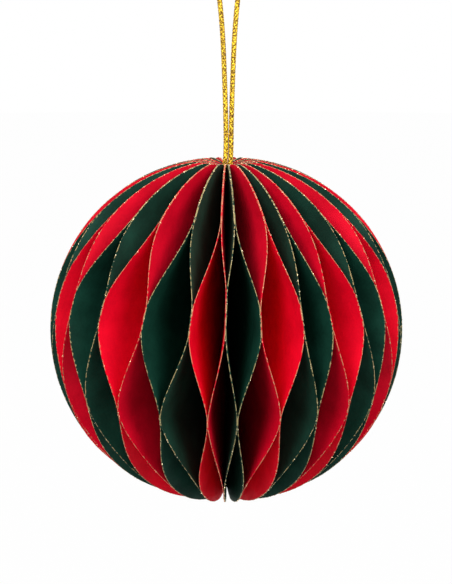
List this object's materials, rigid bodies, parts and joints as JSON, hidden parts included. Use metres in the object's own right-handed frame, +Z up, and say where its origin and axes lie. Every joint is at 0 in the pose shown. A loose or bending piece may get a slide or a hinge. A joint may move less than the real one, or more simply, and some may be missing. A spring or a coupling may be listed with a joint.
{
  "type": "honeycomb paper ball",
  "caption": "Hanging honeycomb paper ball ornament: thin red and green leaves fanned round a spine and glued in staggered lines, with a gold cord loop.",
  "frame": {"origin": "middle of the ball, on its spine", "axes": "+Z up the spine towards the hanging cord, -Y towards the closing seam, the side that the picture shows"},
  "size_m": [0.1, 0.0999, 0.1494],
  "materials": {
    "red_paper": "satin",
    "green_paper": "satin",
    "gold_cord": "metallic yarn"
  },
  "bodies": {
    "root": {"hanging_cord": "gold_cord", "leaf_01_green": "green_paper", "leaf_02_green": "green_paper", "leaf_03_red": "red_paper", "leaf_04_red": "red_paper", "leaf_05_green": "green_paper", "leaf_06_green": "green_paper", "leaf_07_red": "red_paper", "leaf_08_red": "red_paper", "leaf_09_green": "green_paper", "leaf_10_green": "green_paper", "leaf_11_red": "red_paper", "leaf_12_red": "red_paper", "leaf_13_green": "green_paper", "leaf_14_green": "green_paper", "leaf_15_red": "red_paper", "leaf_16_red": "red_paper", "leaf_17_green": "green_paper", "leaf_18_green": "green_paper", "leaf_19_red": "red_paper", "leaf_20_red": "red_paper", "leaf_21_green": "green_paper", "leaf_22_green": "green_paper", "leaf_23_red": "red_paper", "leaf_24_red": "red_paper", "leaf_25_green": "green_paper", "leaf_26_green": "green_paper", "leaf_27_red": "red_paper", "leaf_28_red": "red_paper", "leaf_29_green": "green_paper", "leaf_30_green": "green_paper", "leaf_31_red": "red_paper", "leaf_32_red": "red_paper", "leaf_33_green": "green_paper", "leaf_34_green": "green_paper", "leaf_35_red": "red_paper", "leaf_36_red": "red_paper", "leaf_37_green": "green_paper", "leaf_38_green": "green_paper", "leaf_39_red": "red_paper", "leaf_40_red": "red_paper", "leaf_41_green": "green_paper", "leaf_42_green": "green_paper", "leaf_43_red": "red_paper", "leaf_44_red": "red_paper", "leaf_45_green": "green_paper", "leaf_46_green": "green_paper", "leaf_47_red": "red_paper", "leaf_48_red": "red_paper", "leaf_49_green": "green_paper", "leaf_50_green": "green_paper", "leaf_51_red": "red_paper", "leaf_52_red": "red_paper", "leaf_53_green": "green_paper", "leaf_54_green": "green_paper", "leaf_55_red": "red_paper", "leaf_56_red": "red_paper", "spine_tube": "green_paper"}
  },
  "joints": []
}
